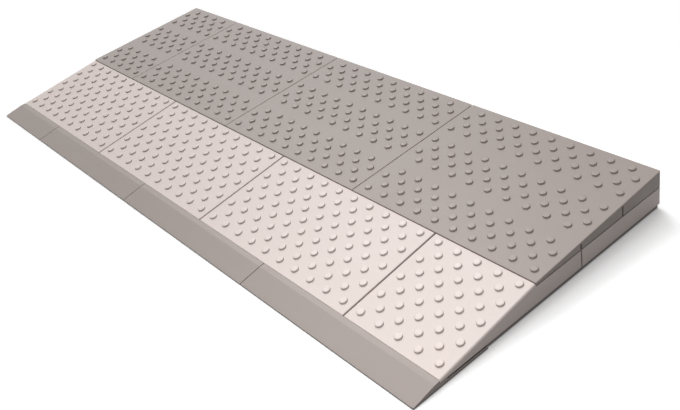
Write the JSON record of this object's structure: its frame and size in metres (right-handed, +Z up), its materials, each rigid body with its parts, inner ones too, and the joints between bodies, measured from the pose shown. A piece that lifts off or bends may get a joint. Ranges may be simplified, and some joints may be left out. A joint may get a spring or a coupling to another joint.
{
  "type": "threshold ramp",
  "caption": "Low, wide threshold ramp of studded plastic tiles in two layers, with a thin toe, for rolling wheels up to a raised door sill.",
  "frame": {"origin": "on the floor, under the middle of the ramp's width and depth", "axes": "+X across the doorway, +Y up the ramp towards the threshold, +Z up"},
  "size_m": [0.839, 0.323, 0.042],
  "materials": {
    "light_plastic": "moulded, matt",
    "grey_plastic": "moulded, matt",
    "plug_plastic": "moulded, matt"
  },
  "bodies": {
    "lower_layer": {"toe_strip_half": "grey_plastic", "toe_strip_left": "grey_plastic", "toe_strip_middle": "grey_plastic", "toe_strip_right": "grey_plastic", "slope_tile_left": "light_plastic", "slope_tile_middle": "light_plastic", "slope_tile_right": "light_plastic", "slope_tile_half": "light_plastic", "base_block_left": "light_plastic", "base_block_middle": "light_plastic", "base_block_right": "light_plastic", "base_block_half": "light_plastic", "coupling_plugs_front": "plug_plastic", "coupling_plugs_middle": "plug_plastic", "coupling_plugs_rear": "plug_plastic", "toe_plugs": "plug_plastic"},
    "top_tile_half": {"top_tile_half": "grey_plastic"},
    "top_tile_left": {"top_tile_left": "grey_plastic"},
    "top_tile_middle": {"top_tile_middle": "grey_plastic"},
    "top_tile_right": {"top_tile_right": "grey_plastic"}
  },
  "joints": [
    {"name": "top_tile_half_lift", "type": "slide", "parent": "lower_layer", "child": "top_tile_half", "axis": [0, 0, 1], "range_m": [0, 0.06]},
    {"name": "top_tile_left_lift", "type": "slide", "parent": "lower_layer", "child": "top_tile_left", "axis": [0, 0, 1], "range_m": [0, 0.06]},
    {"name": "top_tile_middle_lift", "type": "slide", "parent": "lower_layer", "child": "top_tile_middle", "axis": [0, 0, 1], "range_m": [0, 0.06]},
    {"name": "top_tile_right_lift", "type": "slide", "parent": "lower_layer", "child": "top_tile_right", "axis": [0, 0, 1], "range_m": [0, 0.06]}
  ]
}
